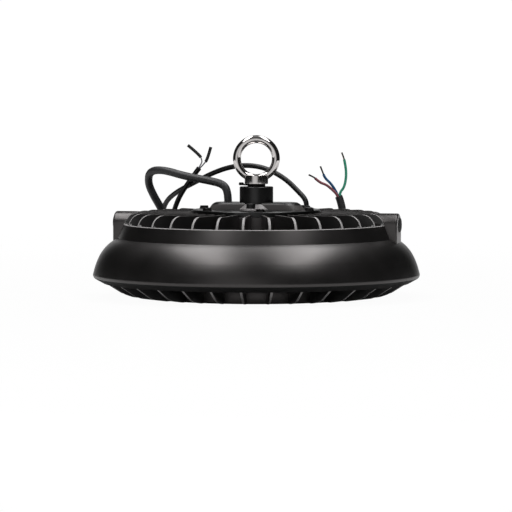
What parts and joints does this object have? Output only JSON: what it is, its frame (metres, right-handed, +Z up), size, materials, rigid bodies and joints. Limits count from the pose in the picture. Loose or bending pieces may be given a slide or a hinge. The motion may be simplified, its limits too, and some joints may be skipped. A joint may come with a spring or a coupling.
{
  "type": "high bay light",
  "caption": "Round finned LED high bay light with a lifting eye on top, a flat lens underneath, and mains and dimming cables with stripped ends.",
  "frame": {"origin": "middle of the underside", "axes": "+Z up through the lifting eye, the two side ears along X"},
  "size_m": [0.2854, 0.2854, 0.1412],
  "materials": {
    "heat_sink": "black powder coat on die-cast aluminium",
    "driver_cover": "black powder coat on die-cast aluminium",
    "cover_screws": "black oxide on steel",
    "vent_plug": "moulded black polyamide",
    "mains_gland": "moulded black polyamide",
    "dimmer_gland": "moulded black polyamide",
    "tab_washer": "dark tempered spring steel",
    "eye_bolt": "bright chrome on forged steel",
    "side_plugs": "moulded black polyamide",
    "led_board": "white solder mask on aluminium",
    "led_packages": "yellow phosphor in silicone",
    "lens_plate": "frosted polycarbonate",
    "lens_gasket": "grey silicone",
    "led_driver": "bare extruded case",
    "driver_leads": "silicone insulation",
    "mains_cable": "black PVC sheath",
    "brown_core": "brown PVC insulation",
    "blue_core": "blue PVC insulation",
    "earth_core": "green PVC insulation",
    "mains_tips": "tinned copper strands",
    "dimmer_cable": "black PVC sheath",
    "dimmer_wires": "pale PVC insulation",
    "dimmer_sleeves": "black heat-shrink tube"
  },
  "bodies": {
    "root": {"heat_sink": "heat_sink", "driver_cover": "driver_cover", "cover_screws": "cover_screws", "vent_plug": "vent_plug", "mains_gland": "mains_gland", "dimmer_gland": "dimmer_gland", "tab_washer": "tab_washer", "eye_bolt": "eye_bolt", "side_plugs": "side_plugs", "led_board": "led_board", "led_packages": "led_packages", "lens_plate": "lens_plate", "lens_gasket": "lens_gasket", "led_driver": "led_driver", "driver_leads": "driver_leads", "mains_cable": "mains_cable", "brown_core": "brown_core", "blue_core": "blue_core", "earth_core": "earth_core", "mains_tips": "mains_tips", "dimmer_cable": "dimmer_cable", "dimmer_wires": "dimmer_wires", "dimmer_sleeves": "dimmer_sleeves"}
  },
  "joints": []
}
